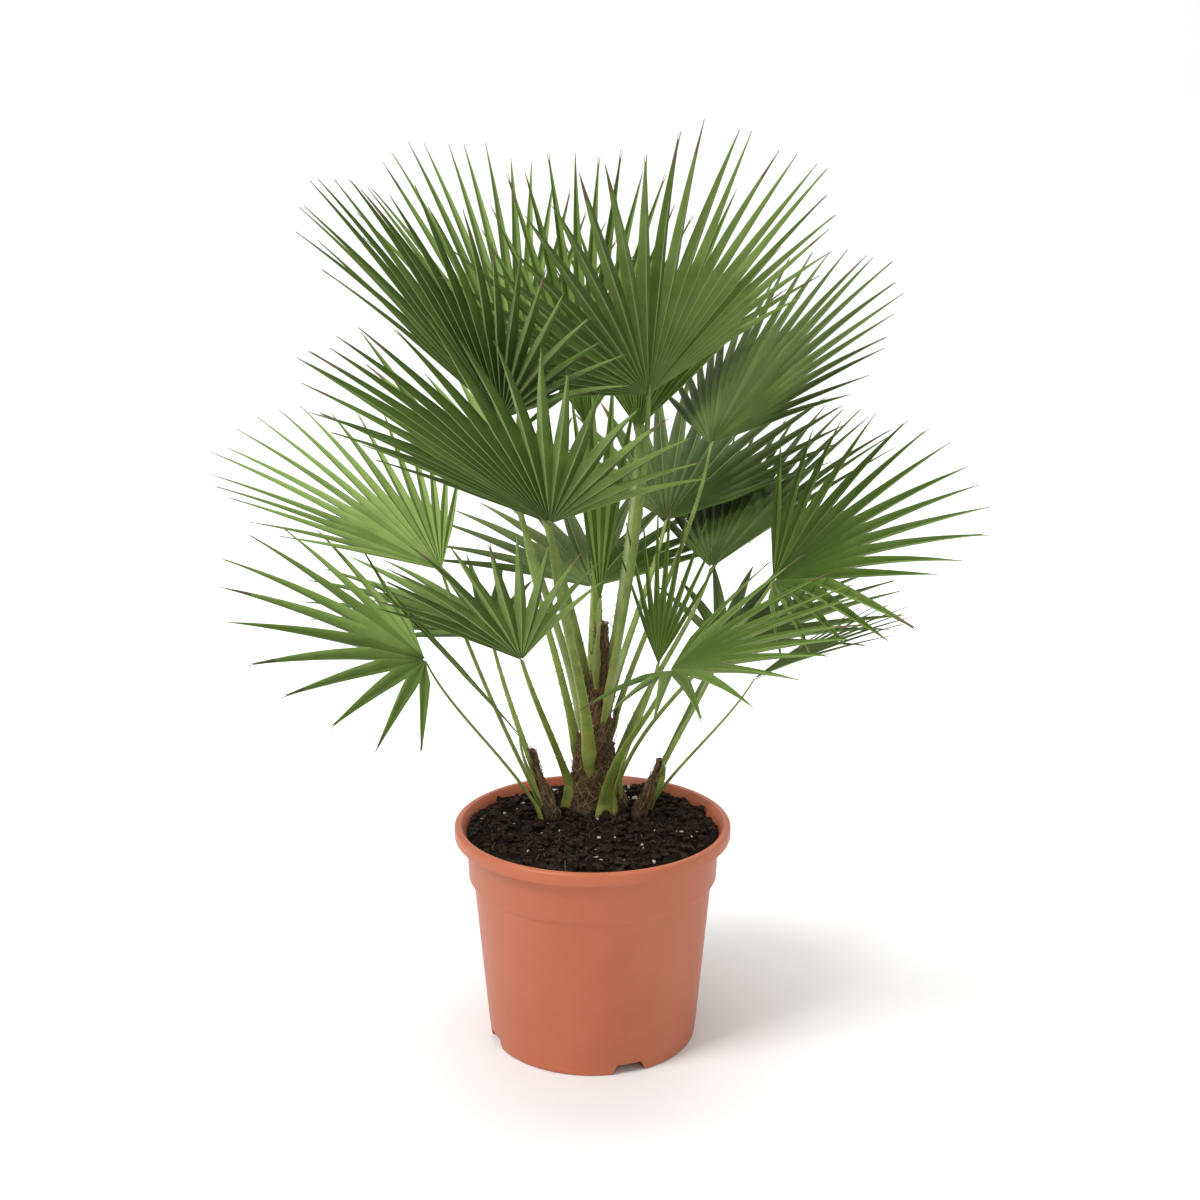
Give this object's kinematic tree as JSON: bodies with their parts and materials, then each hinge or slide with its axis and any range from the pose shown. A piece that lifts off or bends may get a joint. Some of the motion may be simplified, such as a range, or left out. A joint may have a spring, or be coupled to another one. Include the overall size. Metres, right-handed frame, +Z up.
{
  "type": "potted european fan palm",
  "caption": "Clump-forming fan palm with upright toothed petioles and stiff pleated fan fronds, in a round terracotta-coloured nursery pot filled with soil.",
  "frame": {"origin": "centre of the flat pad under the pot, level with the pot's foot ring", "axes": "+Z up along the pot's axis, -Y towards the front of the plant, +X towards its right-hand side as seen from the front"},
  "size_m": [0.7113, 0.6972, 0.852],
  "materials": {
    "pot_plastic": "matte injection-moulded plastic, terracotta colour",
    "potting_soil": "dark crumbly peat with pale perlite flecks and fibres",
    "bark": "brown woven fibres and old leaf bases",
    "petiole": "satin green stalk with a paler base and toothed edges",
    "leaf": "stiff pleated leaf, satin green with a greyer underside and dry brown tips"
  },
  "bodies": {
    "root": {"frond_back_high_left": "leaf", "frond_back_high_right": "leaf", "frond_back_left": "leaf", "frond_back_low": "leaf", "frond_back_low_left": "leaf", "frond_back_low_right": "leaf", "frond_back_right": "leaf", "frond_front_left": "leaf", "frond_front_left_low": "leaf", "frond_front_right_high": "leaf", "frond_left_high": "leaf", "frond_left_high_back": "leaf", "frond_left_low": "leaf", "frond_left_mid": "leaf", "frond_right_high": "leaf", "frond_right_inner": "leaf", "frond_right_low": "leaf", "frond_right_low_back": "leaf", "frond_right_mid": "leaf", "frond_right_mid_back": "leaf", "frond_young_centre": "leaf", "frond_young_left": "leaf", "frond_young_right": "leaf", "left_sucker": "bark", "petiole_back_high_left": "petiole", "petiole_back_high_right": "petiole", "petiole_back_left": "petiole", "petiole_back_low": "petiole", "petiole_back_low_left": "petiole", "petiole_back_low_right": "petiole", "petiole_back_right": "petiole", "petiole_front_left": "petiole", "petiole_front_left_low": "petiole", "petiole_front_right_high": "petiole", "petiole_left_high": "petiole", "petiole_left_high_back": "petiole", "petiole_left_low": "petiole", "petiole_left_mid": "petiole", "petiole_right_high": "petiole", "petiole_right_inner": "petiole", "petiole_right_low": "petiole", "petiole_right_low_back": "petiole", "petiole_right_mid": "petiole", "petiole_right_mid_back": "petiole", "petiole_young_centre": "petiole", "petiole_young_left": "petiole", "petiole_young_right": "petiole", "pot": "pot_plastic", "right_sucker": "bark", "soil": "potting_soil", "trunk": "bark"}
  },
  "joints": []
}
